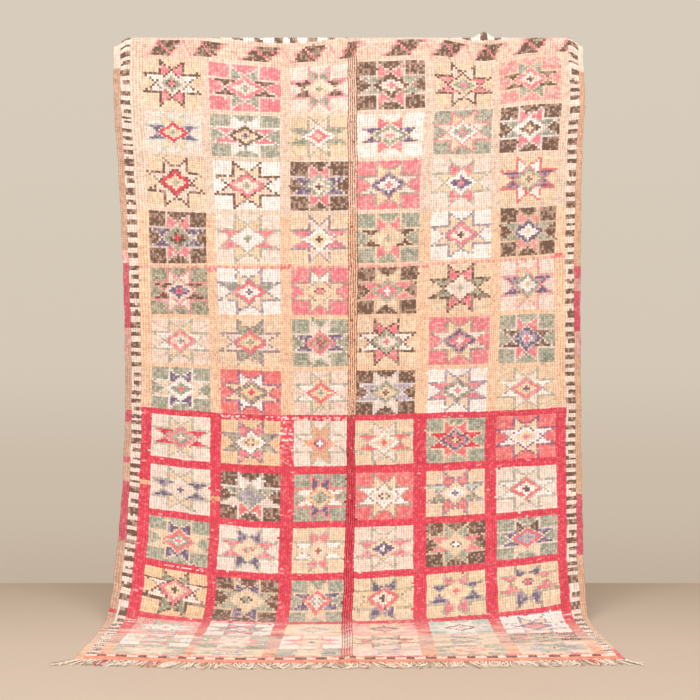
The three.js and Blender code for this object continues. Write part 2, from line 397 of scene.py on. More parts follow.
def layRows():
    places = ("left", "middle", "right")
    bands = list(topBands)
    following = starRows[1:] + frontBands[:1]
    for stars, after in zip(starRows, following):
        edge = {key: after[key] - stars["bar"] for key in places}
        bands.append({**stars, "name": f"stars {stars['row']}", "knots": loom["starKnots"]})
        bands.append({**edge, "name": f"bar {stars['row']}", "knots": stars["barKnots"]})
    bands += frontBands
    starts = np.cumsum([0] + [band["knots"] for band in bands])
    place = {band["name"]: (int(a), int(b)) for band, a, b in zip(bands, starts, starts[1:])}
    marks = {key: [band[key] for band in bands] + [hang["clothLength"]] for key in places}
    marks["left"][0] = marks["middle"][0] = marks["right"][0] = hang["start"]
    return place, starts, marks


def layColumns():
    starts = np.cumsum([0] + [column["knots"] for column in columns])
    place = {column["name"]: (int(a), int(b)) for column, a, b in zip(columns, starts, starts[1:])}
    shares = np.array([column["starts"] for column in columns] + [(1, 1, 1, 1, 1)]).T
    return place, starts, shares


# Columns of the crease: narrow valleys, starting with one, by turns with wider ridges
def creaseColumns():
    first, last = columnPlace["bar 3"]
    return np.arange(first, last, 2), np.arange(first + 1, last, 2)


# Half columns moved sideways in the crease, so that its valleys are narrower than its ridges
def evenColumns():
    halves = np.arange(2 * columnCount + 1) / 2
    first, last = columnPlace["bar 3"]
    valleys, ridges = creaseColumns()
    widths = np.where(np.isin(np.arange(first, last), valleys), loom["valley"], 1 - loom["valley"])
    ends = first + np.concatenate([[0], np.cumsum(widths)]) * (last - first) / widths.sum()
    inside = (halves >= first) & (halves <= last)
    halves[inside] = np.interp(halves[inside], np.arange(first, last + 1), ends)
    return halves


# Share across and distance along of every half knot
def layGrid():
    rowHalf = np.arange(2 * rowCount + 1) / 2
    columnHalf = evenColumns()
    byMeasured = np.array([np.interp(columnHalf, columnStarts, shares) for shares in columnShares])
    middles = [np.mean(rowPlace[f"stars {row}"]) for row in measuredRows]
    share = np.array([np.interp(rowHalf, middles, byMeasured[:, j]) for j in range(len(columnHalf))]).T
    left, middle, right = [np.interp(rowHalf, rowStarts, rowMarks[key])[:, None] for key in rowMarks]
    low = loom["middle"]
    leftPart = left + (middle - left) * np.sin(np.pi / 2 * share / low)
    rightPart = right + (middle - right) * np.cos(np.pi / 2 * (share - low) / (1 - low))
    along = np.where(share < low, leftPart, rightPart)
    for part in raised:
        top, bottom = rowPlace[part["band"]]
        along = along - part["by"] * bump(rowHalf - (top + bottom) / 2, (bottom - top) / 2)[:, None]
    within = smooth(rowHalf, 0, 30)[:, None] * smooth(rowCount - rowHalf, 0, 20)[:, None]
    stray = np.sin(share * 23 + rowHalf[:, None] * 0.11) + np.sin(share * 57 - rowHalf[:, None] * 0.07 + 2)
    along = along + loom["wander"] * within * stray / 2
    sway = np.sin(rowHalf[:, None] * 0.13 + share * 9) + np.sin(rowHalf[:, None] * 0.047 + share * 17 + 1)
    inner = smooth(np.minimum(share, 1 - share), 0, 0.02)
    share = share + (loom["sidle"] * sway / 2 + chance.normal(0, loom["loose"] / 1.7, share.shape)) * inner
    along = along + chance.normal(0, loom["loose"], share.shape) * within
    left, right = sideEdges(along)
    x = left + (right - left) * share
    nearTop = 1 - smooth(along, *loom["sagFade"])
    for sag in sags:
        sink = sag["depth"] * bump(x - sag["at"], sag["reach"]) * nearTop
        along = along + sink * smooth(along, *loom["sagStart"])
    return share, np.clip(along, hang["start"], hang["clothLength"])


rowPlace, rowStarts, rowMarks = layRows()
columnPlace, columnStarts, columnShares = layColumns()
rowCount = int(rowStarts[-1])
columnCount = int(columnStarts[-1])
shareGrid, alongGrid = layGrid()
print("knots", rowCount, "by", columnCount)

print("yarns and chart")

# Dyed yarns as sRGB, with a second tone that some of their knots have
yarns = {yarn["name"]: yarn for yarn in tableOf("name dyed second some", [
    ("lattice", (239, 215, 196), (231, 197, 174), 0.24),
    ("peach", (245, 209, 178), (239, 192, 161), 0.22),
    ("sand", (238, 209, 190), (232, 192, 168), 0.25),
    ("straw", (240, 215, 187), (236, 201, 167), 0.24),
    ("lemon", (240, 216, 183), (238, 202, 164), 0.25),
    ("cream", (243, 226, 213), (242, 214, 199), 0.22),
    ("ivory", (249, 240, 233), (245, 228, 219), 0.22),
    ("blush", (242, 221, 206), (241, 204, 189), 0.24),
    ("pink", (238, 160, 158), (248, 208, 192), 0.45),
    ("rose", (238, 136, 145), (244, 178, 173), 0.40),
    ("coral", (238, 125, 126), (242, 164, 156), 0.35),
    ("cherry", (224, 76, 94), (234, 112, 119), 0.30),
    ("raspberry", (206, 92, 108), (214, 128, 132), 0.35),
    ("brick", (225, 109, 103), (237, 146, 130), 0.35),
    ("brown", (121, 96, 82), (190, 160, 141), 0.46),
    ("umber", (112, 66, 54), (146, 100, 84), 0.35),
    ("rust", (190, 110, 78), (214, 140, 104), 0.30),
    # valley and redValley are darker tones painted as shade into the crease's valleys, not yarns of the rug
    ("valley", (158, 98, 74), (214, 160, 130), 0.35),
    ("redValley", (168, 34, 50), (206, 66, 82), 0.35),
    ("sage", (192, 187, 169), (146, 154, 135), 0.45),
    ("moss", (190, 182, 158), (136, 136, 116), 0.45),
    ("mint", (206, 216, 205), (178, 196, 184), 0.40),
    ("plum", (124, 108, 134), (186, 168, 180), 0.42),
    ("lilac", (198, 184, 196), (168, 152, 172), 0.35),
    ("saffron", (240, 208, 172), (238, 190, 142), 0.28),
    ("apricot", (236, 185, 150), (234, 166, 128), 0.30),
    ("orange", (226, 130, 102), (240, 170, 140), 0.38),
    ("mauve", (218, 170, 158), (210, 150, 142), 0.30),
    ("salmon", (208, 172, 149), (198, 152, 130), 0.30),
    ("clay", (217, 177, 148), (208, 158, 130), 0.30),
])}
yarnNames = list(yarns)

# Star compartments, six to a row: ground, line, up and down arms, side arms, diamond edge, diamond, heart.
# A slash parts the upper half's yarn from the lower half's, and a plus the heart's ring from its middle
starChart = [
    ["straw brown rose ivory cream sage brown+rose", "rose cream sage brown rose cream sage",
     "cream rose sage brown blush lemon moss", "brown cream rose sage brown cream rose",
     "straw brown blush rose straw sage rose", "pink lemon sage brown rose cream brown"],
    ["cream mint lemon plum cherry straw sage", "sage ivory ivory rose brown straw plum",
     "straw moss blush sage ivory rose straw", "ivory lemon rose plum sage cream rose",
     "sage rose straw blush ivory sage rose", "brown ivory rose sage ivory brown straw"],
    ["straw brown blush blush cherry straw sage", "ivory brown straw blush rose cream sage",
     "brown cream rose plum sage cream brown", "rose sage lemon cream plum ivory rose",
     "cream sage rose lemon ivory plum rose", "straw cherry ivory plum sage straw brown"],
    ["brown cream rose plum sage brown cherry", "cream sage lemon rose ivory ivory sage",
     "straw plum blush rose ivory lemon brown", "sage straw rose brown straw straw sage",
     "ivory plum lemon straw rose cream brown", "brown straw pink sage plum ivory straw"],
    ["moss rose cream brown blush plum cherry", "ivory plum straw sage/straw coral ivory plum",
     "rose sage ivory/straw straw straw brown+straw rose", "brown straw straw rose sage rose ivory",
     "straw brown rose moss cream cream sage", "cream rose lemon plum sage ivory straw"],
    ["blush sage straw ivory rose cream sage", "straw plum moss blush coral lemon sage",
     "sage cream cream plum rose moss cherry", "straw brown rose ivory sage cream rose",
     "rose sage lemon cream plum rose ivory", "sage cream rose brown plum lilac ivory+rose"],
    ["sage ivory plum straw ivory sage rose", "coral plum ivory straw moss saffron cherry",
     "blush sage straw ivory coral straw sage", "brown ivory cream lilac sage straw brown",
     "ivory plum straw rose moss ivory rose", "straw sage cream ivory rose lemon plum"],
    ["cream sage straw cherry rose sage blush", "saffron plum rose moss ivory brown+straw straw",
     "cream sage apricot cream apricot rose plum+ivory", "straw sage cream coral ivory straw coral",
     "sage straw coral cherry plum coral brown+straw", "coral plum straw ivory ivory straw rose"],
    ["cream sage straw plum cream blush plum", "brown ivory ivory/coral moss/blush sage lilac sage",
     "sage coral plum ivory saffron sage moss", "coral sage straw ivory ivory plum+straw straw",
     "straw plum coral mint/moss straw ivory plum", "cream sage cream ivory coral ivory brown"],
    ["sage straw plum straw coral sage ivory+coral", "cream sage plum rose straw straw coral+sage",
     "straw sage rose ivory straw blush rust", "blush sage blush rose straw plum ivory",
     "brown straw sage rose straw brown+straw ivory", "sage cream brown/straw plum coral lilac sage"],
    ["saffron brown moss cream rose straw brown", "brown straw plum sage straw brown+straw sage",
     "sage straw straw plum coral sage+cream ivory", "straw moss plum saffron coral cream brown",
     "lemon sage rose plum lemon straw coral", "straw moss plum rose lemon straw plum+coral"],
    ["pink sage mint ivory ivory ivory coral", "ivory plum rose moss brown ivory rose",
     "straw blush cream blush sage straw cream", "pink straw straw straw brown rose sage",
     "mint ivory ivory blush brown ivory coral", "ivory plum straw ivory plum rose rose"],
    ["ivory sage rose straw sage cream coral", "sage cream cream rose cream blush plum",
     "ivory coral straw rose straw cream brown", "straw brown sage coral straw cream rose",
     "straw sage lilac straw brown straw sage", "brown straw sage rose straw sage brown"],
    ["sage straw straw straw cream straw rose", "straw sage lilac sage straw plum straw",
     "sage straw straw plum straw straw sage", "blush rose lilac cream straw sage rose",
     "sage straw straw saffron coral straw sage", "straw lilac sage lilac sage straw plum"],
]

# Parts of the star, in knots from its middle or as shares of the compartment's half size
star = {
    "upArm": 0.37,  # half width of the upright arms, as a share of the half width
    "sideArm": 4,  # half height of the side arms
    "notchDown": 0.55,  # how near the middle the notches reach, of the half height
    "notchAcross": 0.54,
    "diamondTall": 0.49,
    "diamondWide": 0.54,
    "outline": 1.13,  # reach of the line round the diamond
    "edge": 0.67,  # inner reach of the diamond's edge
    "ring": 0.38,
    "heart": 0.22,
    "lost": 0.05,  # share of line knots that are missing
}

# The ground between the compartments, by bands of knot rows: the last one given for a row holds
lattice = tableOf("from to yarn", [
    ("turned strip", "bar 3", "lattice"),
    ("stars 4", "stars 7", "peach"),
    ("over zigzag", "under zigzag", "sand"),
    ("bar 7", "bar 11", "cherry"),
    ("stars 12", "stars 12", "brick"),
    ("bar 12", "bar 12", "coral"),
    ("stars 13", "bar 13", "mauve"),
    ("stars 14", "stars 14", "apricot"),
    ("bar 14", "bar 14", "apricot"),
    ("front checker", "front checker", "blush"),
    ("front strip", "front strip", "orange"),
])
# Short stretches of another yarn, and the share of their knots that have it
patches = tableOf("band row rows from to yarn often", [
    ("bar 4", 1, 1, "left plain", "right plain", "pink", 0.9),
    ("stars 5", 0, 2, "bar 1", "bar 1", "coral", 0.8),
    ("bar 4", 0, 2, "bar 2", "bar 2", "coral", 0.8),
    ("stars 5", 0, 1, "bar 4", "bar 4", "coral", 0.8),
    ("bar 4", 0, 2, "right plain", "right plain", "coral", 0.8),
    ("bar 7", 1, 2, "star 2", "star 3", "pink", 0.35),
    ("stars 8", 0, 12, "bar 2", "bar 2", "blush", 0.25),
    ("stars 8", 0, 21, "bar 2", "bar 2", "coral", 0.4),
    ("stars 9", 8, 2, "left plain", "left plain", "apricot", 1),
    ("stars 9", 12, 2, "bar 1", "bar 1", "apricot", 0.9),
    ("stars 12", 0, 13, "left plain", "left plain", "cherry", 0.85),
    ("stars 12", 0, 9, "bar 1", "right plain", "cherry", 0.8),
    ("stars 14", 13, 8, "left plain", "right plain", "orange", 0.6),
    ("bar 14", 0, 1, "left plain", "right plain", "coral", 0.6),
])
# Yarns of the crease's ridges, and the darker tones painted as shade in its valleys, by bands of knot rows
creaseYarns = tableOf("from to ridge valley", [
    ("zigzag", "bar 7", None, "valley"),
    ("stars 8", "bar 11", "cherry", "redValley"),
    ("stars 12", "stars 12", "rose", "redValley"),
    ("bar 12", "bar 13", "blush", "valley"),
    ("stars 14", "stars 14", "coral", "redValley"),
    ("bar 14", "front checker", "apricot", "valley"),
])
# Yarn of the flat-woven selvedges by distance along them
selvedges = tableOf("side from to yarn", [
    ("left", -0.2, 3.0, "salmon"),
    ("left", -0.2, 0.10, "blush"),
    ("left", 0.80, 0.85, "pink"),
    ("left", 0.85, 1.09, "raspberry"),
    ("left", 1.09, 1.19, "mauve"),
    ("left", 1.403, 1.446, "raspberry"),
    ("left", 1.577, 1.595, "raspberry"),
    ("left", 1.665, 1.895, "raspberry"),
    ("left", 2.18, 2.19, "cherry"),
    ("left", 2.41, 2.42, "cherry"),
    ("left", 2.70, 3.0, "apricot"),
    ("right", -0.2, 3.0, "clay"),
    ("right", -0.2, 0.12, "blush"),
    ("right", 0.86, 0.905, "raspberry"),
    ("right", 0.905, 0.95, "mauve"),
    ("right", 0.95, 1.105, "raspberry"),
    ("right", 1.105, 1.20, "mauve"),
    ("right", 1.72, 1.95, "raspberry"),
    ("right", 2.80, 3.0, "cherry"),
])
checks = {
    "sideBar": 2,  # knot rows in a bar of the side checkers
    "longer": 0.30,  # share of those bars that are a row longer
    "shorter": 0.10,
    "late": 0.25,  # share that start a knot further in
    "middle": 0.3635,  # where the end checkers are counted from, as a share of the knots across
    "topPeriod": 7.55,
    "frontPeriod": 7.3,
    "dark": 0.24,  # half width of a dark check, as a share of a period
}
zigzag = {
    "starts": (0.073, 0.168, 0.272, 0.379, 0.478, 0.576, 0.679, 0.766, 0.853, 0.948),
    "width": 9.6,
    "slant": 0.68,  # knots to the right for each row up
    "roseLeft": 0.25,  # share of the left edge's knots that are rose and not pink
    "roseRight": 0.2,
}


# Ground yarn under each knot of a star's line, and -1 elsewhere
underLine = np.full((rowCount, columnCount), -1)


def bandRows(first, last):
    return rowPlace[first][0], rowPlace[last][1]


def stretchColumns(first, last):
    return columnPlace[first][0], columnPlace[last][1]


# Number of the part at each knot: ground, line, upright arms, side arms, diamond's edge, diamond, ring, heart
def starParts(height, width):
    down, over = np.mgrid[0:height, 0:width]
    halfWidth = (width - 1) / 2
    halfHeight = (height - 1) / 2
    x = np.abs(over - halfWidth)
    y = np.abs(down - halfHeight)
    upArm = round(star["upArm"] * (halfWidth + 0.5))
    sideArm = star["sideArm"]
    notchDown = star["notchDown"] * (halfHeight + 0.5)
    notchAcross = star["notchAcross"] * (halfWidth + 0.5)
    upReach = np.round(notchDown + x * (halfHeight - notchDown) / upArm)
    slope = (halfWidth - notchAcross) / sideArm
    sideReach = np.round(notchAcross + y * slope)
    reach = x / (star["diamondWide"] * (halfWidth + 0.5)) + y / (star["diamondTall"] * (halfHeight + 0.5))
    outside = reach >= 1
    up = outside & (x <= upArm) & (y <= upReach)
    side = outside & (y <= sideArm) & (x <= sideReach)
    near = outside & (reach < star["outline"]) & (up | side)
    upLine = up & ((x == upArm) | (y == upReach)) & (y >= sideArm)
    sideLine = side & ((y == sideArm) | (x > sideReach - 1)) & (x >= upArm)
    part = np.zeros((height, width), int)
    part[up] = 2
    part[side & ~(up & (y > sideArm))] = 3
    part[up & (x < upArm) & (y >= sideArm)] = 2
    part[near | upLine | sideLine] = 1
    for number, limit in ((4, 1), (5, star["edge"]), (6, star["ring"]), (7, star["heart"])):
        part[reach < limit] = number
    return part


def weaveStar(chart, top, left, height, width, wording):
    part = starParts(height, width)
    names = wording.split()
    ring, middle = (names[6].split("+") * 2)[:2] if "+" in names[6] else (names[5], names[6])
    if "+" in names[5]:
        ring = names[5].split("+")[0]
        names[5] = names[5].split("+")[1]
    words = [*names[:6], ring, middle]
    block = np.zeros((height, width), int)
    half = height // 2
    for number, word in enumerate(words):
        upper, lower = (word.split("/") * 2)[:2]
        block[:half][part[:half] == number] = yarnNames.index(upper)
        block[half:][part[half:] == number] = yarnNames.index(lower)
    lost = (part == 1) & (chance.random(part.shape) < star["lost"])
    block[lost] = block[0, 0]
    chart[top:top + height, left:left + width] = block
    underLine[top:top + height, left:left + width] = np.where(part == 1, block[0, 0], -1)


def weaveStars(chart):
    for row, line in enumerate(starChart):
        top, bottom = rowPlace[f"stars {row + 1}"]
        for number, wording in enumerate(line):
            left, right = columnPlace[f"star {number + 1}"]
            weaveStar(chart, top, left, bottom - top, right - left, wording)


def weaveSideCheckers(chart):
    first, last = bandRows("top checker", "bar 14")
    for name in ("left checker", "right checker"):
        left, right = columnPlace[name]
        row = first
        while row < last:
            for yarn in ("brown", "cream"):
                longer = chance.random() < checks["longer"]
                shorter = chance.random() < checks["shorter"]
                rows = checks["sideBar"] + longer - shorter
                start = left + (chance.random() < checks["late"])
                chart[row:row + rows, left:right] = yarnNames.index("cream")
                chart[row:row + rows, start:right] = yarnNames.index(yarn)
                row += rows


def weaveEndChecker(chart, band, period, dark, pale):
    top, bottom = rowPlace[band]
    left, right = stretchColumns("left plain", "right plain")
    turns = (np.arange(left, right) - checks["middle"] * columnCount) / period
    darker = np.abs(turns - np.round(turns)) < checks["dark"]
    chart[top:bottom, left:right] = np.where(darker, yarnNames.index(dark), yarnNames.index(pale))


def weaveZigzag(chart):
    top, bottom = rowPlace["zigzag"]
    height = bottom - top
    columnOfShare = np.interp(zigzag["starts"], columnShares[0], columnStarts)
    last = columnPlace["right checker"][0]
    brown, rose, pink = [yarnNames.index(name) for name in ("brown", "rose", "pink")]
    for number, begin in enumerate(columnOfShare):
        for up in range(height):
            row = bottom - 1 - up
            left = int(round(begin + zigzag["slant"] * up))
            right = int(round(begin + zigzag["width"] + zigzag["slant"] * up))
            cut = int(round(begin + zigzag["width"] - (zigzag["width"] - 4) / (height - 1) * up))
            chart[row, left:min(right, last)] = brown
            chart[row, left] = rose if chance.random() < zigzag["roseLeft"] else pink
            if right < last:
                chart[row, right] = rose if chance.random() < zigzag["roseRight"] else pink
            if left < cut < right:
                chart[row, cut] = rose
        following = columnOfShare[number + 1] if number + 1 < len(columnOfShare) else last
        peak = begin + zigzag["width"] + zigzag["slant"] * (height - 1) + 1
        for up in range(height):
            link = int(round(following - 1 + (peak - following + 1) * up / (height - 1)))
            if columnPlace["left plain"][0] <= link < last:
                chart[bottom - 1 - up, link] = pink


def weaveSelvedges(chart):
    along = alongGrid[1::2]
    for name in ("left", "right"):
        left, right = columnPlace[f"{name} selvedge"]
        place = along[:, 2 * left + 1]
        for piece in selvedges:
            if piece["side"] == name:
                rows = (place >= piece["from"]) & (place < piece["to"])
                chart[rows, left:right] = yarnNames.index(piece["yarn"])


# The crease's ridges show the ground's yarn, and its valleys a darker tone: painted shade down between them
def weaveCrease(chart):
    valleys, ridges = creaseColumns()
    for stretch in creaseYarns:
        rows = slice(rowPlace[stretch["from"]][0], rowPlace[stretch["to"]][1])
        if stretch["ridge"]:
            chart[rows, ridges] = yarnNames.index(stretch["ridge"])
        chart[rows, valleys] = yarnNames.index(stretch["valley"])


# Some knots follow a neighbour, so that edges of colour are ragged
def ragKnots(chart):
    rows, cols = np.nonzero(chance.random(chart.shape) < loom["ragged"])
    shift = chance.integers(-1, 2, (2, len(rows)))
    fromRows = np.clip(rows + shift[0], 0, rowCount - 1)
    fromCols = np.clip(cols + shift[1], columnPlace["left checker"][0], columnPlace["right checker"][1] - 1)
    inner = (cols >= columnPlace["left checker"][0]) & (cols < columnPlace["right checker"][1])
    chart[rows[inner], cols[inner]] = chart[fromRows[inner], fromCols[inner]]


def weaveChart():
    chart = np.zeros((rowCount, columnCount), int)
    for band in lattice:
        top, bottom = bandRows(band["from"], band["to"])
        chart[top:bottom] = yarnNames.index(band["yarn"])
    ground = np.ones(chart.shape, bool)
    for row in range(len(starChart)):
        for number in range(6):
            rows = slice(*rowPlace[f"stars {row + 1}"])
            ground[rows, slice(*columnPlace[f"star {number + 1}"])] = False
    weaveStars(chart)
    for patch in patches:
        top = rowPlace[patch["band"]][0] + patch["row"]
        left, right = stretchColumns(patch["from"], patch["to"])
        here = (slice(top, top + patch["rows"]), slice(left, right))
        often = chance.random(chart[here].shape) < patch["often"]
        chart[here][often & ground[here]] = yarnNames.index(patch["yarn"])
    weaveZigzag(chart)
    weaveCrease(chart)
    weaveSideCheckers(chart)
    weaveEndChecker(chart, "top checker", checks["topPeriod"], "brown", "ivory")
    weaveEndChecker(chart, "front checker", checks["frontPeriod"], "umber", "blush")
    ragKnots(chart)
    weaveSelvedges(chart)
    return chart


dye = {
    "knot": 0.045,
    "row": 0.035,
    "block": 0.030,
    "rowLength": 14,
    "point": 0.04,
    "lineBlend": 0.24,  # how far the stars' paler lines take on the ground's colour
    "run": 5,  # half knots that a groove's painted shade runs on down its column
    # strength of the painted highlight on the floor rows
    "grazingHighlight": 0.16,
    "streaks": 0.62,  # strength of the pale streaks, which strengthen the painted highlight, and of the dark streaks, where the rug lies on the floor
    "darkStreak": 0.6,
    "paling": (2.26, 2.50),  # distances along the rug between which it pales with a painted highlight
    "stripStart": (2.860, 2.880),
    "shadesFade": (2.18, 2.36),  # where the grooves' painted shades soften
    "shadePower": (0.3, 0.9, 0.6),  # how strong those shades are: at least, by runs down a column, by point
    "shadesLost": 0.8,  # share of that strength that is gone on the floor
    "streakLength": 7,
    "streakTall": 2,
}
grazingHighlight = linear((250, 226, 208))  # the painted highlight that the floor rows fade towards: their knot tips lit at a grazing angle


# Linear colour of every knot, with the unevenness of its yarn, its row and its place, and a painted highlight
# where the rug lies on the floor
def dyeKnots(chart):
    dyed = linear([yarns[name]["dyed"] for name in yarnNames])
    second = linear([yarns[name]["second"] for name in yarnNames])
    some = np.array([yarns[name]["some"] for name in yarnNames])
    mix = (chance.random(chart.shape) < some[chart]) * chance.uniform(0.4, 1, chart.shape)
    colour = dyed[chart] + (second[chart] - dyed[chart]) * mix[..., None]
    pale = (underLine >= 0) & (chart != yarnNames.index("brown"))
    blend = (pale * dye["lineBlend"])[..., None]
    colour = colour * (1 - blend) + dyed[underLine] * blend
    knot = chance.normal(0, dye["knot"], chart.shape)
    runs = chance.normal(0, dye["row"], (rowCount, columnCount // dye["rowLength"] + 2))
    at = np.arange(runs.shape[1]) * dye["rowLength"]
    row = np.array([np.interp(np.arange(columnCount), at, run) for run in runs])
    rows = np.arange(rowCount)[:, None]
    cols = np.arange(columnCount)[None, :]
    block = np.sin(rows * 0.21 + cols * 0.05) + np.sin(cols * 0.17 - rows * 0.06 + 1.3)
    colour = colour * (1 + knot + row + dye["block"] * block / 2)[..., None]
    # On the floor the knots fade towards a painted highlight, standing for tips lit at a grazing angle, in
    # pale and dark streaks along the rows
    onFloor = smooth(alongGrid[1::2, 1::2], *dye["paling"])
    streak = dye["streaks"] * floorRowStreaks() * onFloor
    beforeStrip = 1 - smooth(alongGrid[1::2, 1::2], *dye["stripStart"])
    wearAndHighlight = (np.clip(dye["grazingHighlight"] * onFloor + streak, 0, 0.9) * beforeStrip)[..., None]
    dark = 1 + dye["darkStreak"] * np.minimum(streak, 0)[..., None]
    return np.clip((colour * (1 - wearAndHighlight) + grazingHighlight * wearAndHighlight) * dark, 0.01, 1)


# Uneven streaks along the knot rows, from -1 to 1
def floorRowStreaks():
    tall = rowCount // dye["streakTall"] + 1
    runs = chance.uniform(-1, 1, (tall, columnCount // dye["streakLength"] + 2)) ** 3
    at = np.arange(runs.shape[1]) * dye["streakLength"]
    shifts = chance.uniform(0, dye["streakLength"], tall)
    lines = np.array([np.interp(np.arange(columnCount) + shift, at, run) for shift, run in zip(shifts, runs)])
    return np.repeat(lines, dye["streakTall"], axis=0)[:rowCount]


chart = weaveChart()
knotColour = dyeKnots(chart)

print("knotted cloth")

pile = {
    "columnGroove": 0.0024,  # depth between two columns of knots
    "rowGroove": 0.0012,
    "corner": 0.0030,
    "uneven": 0.0006,
    "checkerHeight": 0.0065,  # the front end's checker is trodden low
    "flatGroove": 0.0004,
    "creaseGroove": 0.0055,
    "columnShade": (0.83, 0.79, 0.76),  # painted shade down between the knots
    "rowShade": (0.93, 0.90, 0.88),
    "cornerShade": (0.62, 0.53, 0.48),
    "backNap": 0.0003,
    "creaseSide": 0.6,  # depth at the sides of the crease's valleys, as a share of that in their middles
    "frontRim": 0.62,  # where the rims start and end, as shares of the selvedge's thickness
    "backRim": 0.3,
    "rimTone": 0.85,
    "backTone": 0.88,  # the back is duller, and shows this much of the yarn and of the foundation
    "backYarn": 0.72,
    "backFoundation": 0.28,
}
foundation = linear((226, 200, 172))
slabs = [
    {"name": "rug_top_stars", "from": "turned strip", "to": "bar 3"},
    {"name": "rug_middle_stars", "from": "stars 4", "to": "bar 7"},
    {"name": "rug_red_stars", "from": "stars 8", "to": "bar 11"},
    {"name": "rug_floor_stars", "from": "stars 12", "to": "front strip"},
]
# Where the pale weft shows between two rows of knots: band, knot row in it, stretch of columns, how often
weftShows = tableOf("band row from to often", [
    ("bar 7", 1, "star 2", "bar 2", 0.2),
    ("bar 7", 2, "bar 2", "star 3", 0.2),
    ("stars 8", 6, "bar 2", "bar 2", 0.7),
    ("stars 8", 9, "bar 2", "bar 2", 0.7),
    ("bar 10", 2, "star 1", "star 1", 0.3),
    ("bar 11", 1, "star 2", "star 2", 0.8),
    ("stars 12", 0, "star 2", "bar 2", 0.8),
    ("stars 12", 0, "star 6", "star 6", 0.8),
    ("stars 12", 3, "left plain", "left plain", 0.9),
    ("stars 12", 5, "left plain", "left plain", 0.9),
    ("stars 12", 2, "right plain", "right plain", 0.8),
    ("stars 12", 4, "bar 5", "bar 5", 0.8),
])


def cellHeights():
    height = np.full((rowCount, columnCount), hang["pile"])
    height += chance.normal(0, pile["uneven"], height.shape)
    flatStart = bandRows("turned strip", "turned strip")[1]
    flatEnd = bandRows("front strip", "front strip")[0]
    wearAndHighlight = slice(*bandRows("front checker", "front checker"))
    height[wearAndHighlight] = pile["checkerHeight"] + chance.normal(0, pile["uneven"], height[wearAndHighlight].shape)
    height[:flatStart] = hang["end"]
    height[flatEnd:] = hang["end"]
    height[:, :columnPlace["left selvedge"][1]] = hang["selvedge"]
    height[:, columnPlace["right selvedge"][0]:] = hang["selvedge"]
    return height


# The lowest of the knots that meet at each half-knot point
def lowestAround(height):
    padded = np.pad(height, 1, mode="edge")
    wide = np.repeat(np.repeat(padded, 2, axis=0), 2, axis=1)
    rows, cols = 2 * rowCount + 1, 2 * columnCount + 1
    parts = [wide[a:a + rows, b:b + cols] for a in (1, 2) for b in (1, 2)]
    return np.minimum.reduce(parts)


def surfaceHeights(height):
    low = lowestAround(height)
    isPile = low > hang["selvedge"] + 0.001
    grooves = np.zeros_like(low)
    grooves[0::2, 1::2] = pile["rowGroove"]
    grooves[1::2, 0::2] = pile["columnGroove"]
    grooves[0::2, 0::2] = pile["corner"]
    valleys, _ = creaseColumns()
    for step in (0, 1, 2):
        depth = pile["creaseGroove"] if step == 1 else pile["creaseGroove"] * pile["creaseSide"]
        grooves[:, 2 * valleys + step] = depth
    flat = np.zeros_like(low)
    flat[0::2] = pile["flatGroove"]
    surface = low - np.where(isPile, grooves, flat)
    surface[:, 0] = surface[:, -1] = hang["selvedge"] * pile["frontRim"]
    return surface


groove = {
    "specks": 0.07,  # share of the pale rows' corners that have a brown speck
    "speck": (150, 96, 78),
    "speckShows": 0.55,
    "weftShows": 0.95,
    "flecks": 0.010,  # share of the cherry knots with a pale fleck
    "fleckShows": 0.42,
}


# Tints of the grooves: brown specks among the pale knots, pale weft between some rows
def grooveTints():
    shape = (2 * rowCount + 1, 2 * columnCount + 1)
    tint = np.zeros((*shape, 3))
    share = np.zeros(shape)
    change = 2 * rowPlace["bar 7"][0]
    specks = chance.random(shape) < groove["specks"]
    specks[1::2] = False
    specks[:, 1::2] = False
    specks[change:] = False
    tint[specks] = linear(groove["speck"])
    share[specks] = groove["speckShows"]
    for run in weftShows:
        row = 2 * (rowPlace[run["band"]][0] + run["row"])
        left, right = stretchColumns(run["from"], run["to"])
        shown = np.repeat(chance.random(right - left) < run["often"], 2)
        tint[row, 2 * left:2 * right] = linear(yarns["ivory"]["dyed"])
        share[row, 2 * left:2 * right] = shown * groove["weftShows"]
    red = chart == yarnNames.index("cherry")
    rows, cols = np.nonzero(red & (chance.random(chart.shape) < groove["flecks"]))
    for step in (0, 1, 2):
        at = np.minimum(2 * cols + step, shape[1] - 1)
        tint[2 * rows, at] = linear(yarns["ivory"]["dyed"])
        share[2 * rows, at] = groove["fleckShows"]
    return tint, share


ring = [(0, 0), (1, 0), (2, 0), (2, 1), (2, 2), (1, 2), (0, 2), (0, 1)]


# Painted shade at each half-knot point, as a multiplier of the yarn's colour: none at a knot's tip, most
# where four knots meet
def pointShades():
    shades = np.ones((2 * rowCount + 1, 2 * columnCount + 1, 3))
    shades[1::2, 0::2] = pile["columnShade"]
    shades[0::2, 1::2] = pile["rowShade"]
    shades[0::2, 0::2] = pile["cornerShade"]
    onFloor = smooth(alongGrid, *dye["shadesFade"])[..., None]
    tall, wide = shades.shape[:2]
    runs = chance.uniform(0, 1, (tall // dye["run"] + 2, wide))
    at = np.arange(runs.shape[0]) * dye["run"]
    down = np.array([np.interp(np.arange(tall), at, run) for run in runs.T]).T
    least, byRun, byPoint = dye["shadePower"]
    power = (least + byRun * down + chance.uniform(0, byPoint, (tall, wide)))[..., None]
    power = power * (1 - dye["shadesLost"] * onFloor)
    return shades ** power * (1 + chance.normal(0, dye["point"], (tall, wide, 1)))


